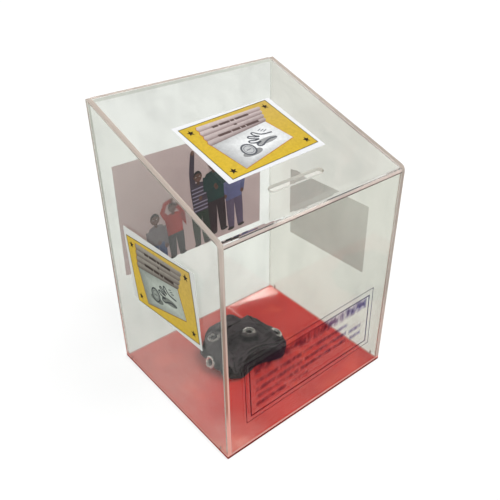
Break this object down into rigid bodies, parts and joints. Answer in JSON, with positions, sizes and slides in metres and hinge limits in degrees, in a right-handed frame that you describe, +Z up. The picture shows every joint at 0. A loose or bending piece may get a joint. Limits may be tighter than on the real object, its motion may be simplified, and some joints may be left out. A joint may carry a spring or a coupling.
{
  "type": "donation box",
  "caption": "Clear acrylic collection box with a sloping slotted lid panel, red base plate, stuck-on labels, a picture inside the back wall and a soft black cash pouch inside.",
  "frame": {"origin": "middle of the underside of the base plate", "axes": "+X from the box's left to its right seen from the front, +Y from front to back, +Z up; the lid slopes down towards -Y"},
  "size_m": [0.2512, 0.2204, 0.3476],
  "materials": {
    "clear_acrylic": "clear polished acrylic sheet, faintly hazy and scratched",
    "red_acrylic": "glossy red acrylic sheet",
    "label_paper": "coated paper with a gold printed frame",
    "picture_paper": "semi-gloss photo print",
    "print_film": "clear film with dark blue print",
    "pouch_fabric": "black coated cloth, soft sheen",
    "eyelet_metal": "bright nickel plate",
    "screw_steel": "zinc-plated steel"
  },
  "bodies": {
    "base": {"base_plate": "red_acrylic", "base_screw_1": "screw_steel", "base_screw_2": "screw_steel", "base_screw_3": "screw_steel", "base_screw_4": "screw_steel"},
    "cover": {"left_wall": "clear_acrylic", "right_wall": "clear_acrylic", "front_wall": "clear_acrylic", "back_wall": "clear_acrylic", "lid_panel": "clear_acrylic", "lid_label": "label_paper", "left_label": "label_paper", "right_label": "label_paper", "back_picture": "picture_paper", "front_film": "print_film"},
    "pouch": {"pouch_body": "pouch_fabric", "pouch_eyelet_1": "eyelet_metal", "pouch_eyelet_2": "eyelet_metal", "pouch_eyelet_3": "eyelet_metal", "pouch_eyelet_4": "eyelet_metal"}
  },
  "joints": [
    {"name": "cover_lift", "type": "slide", "parent": "base", "child": "cover", "axis": [0, 0, 1], "range_m": [0, 0.36]},
    {"name": "pouch_lift", "type": "slide", "parent": "base", "child": "pouch", "axis": [0, 0, 1], "range_m": [0, 0.2]}
  ]
}
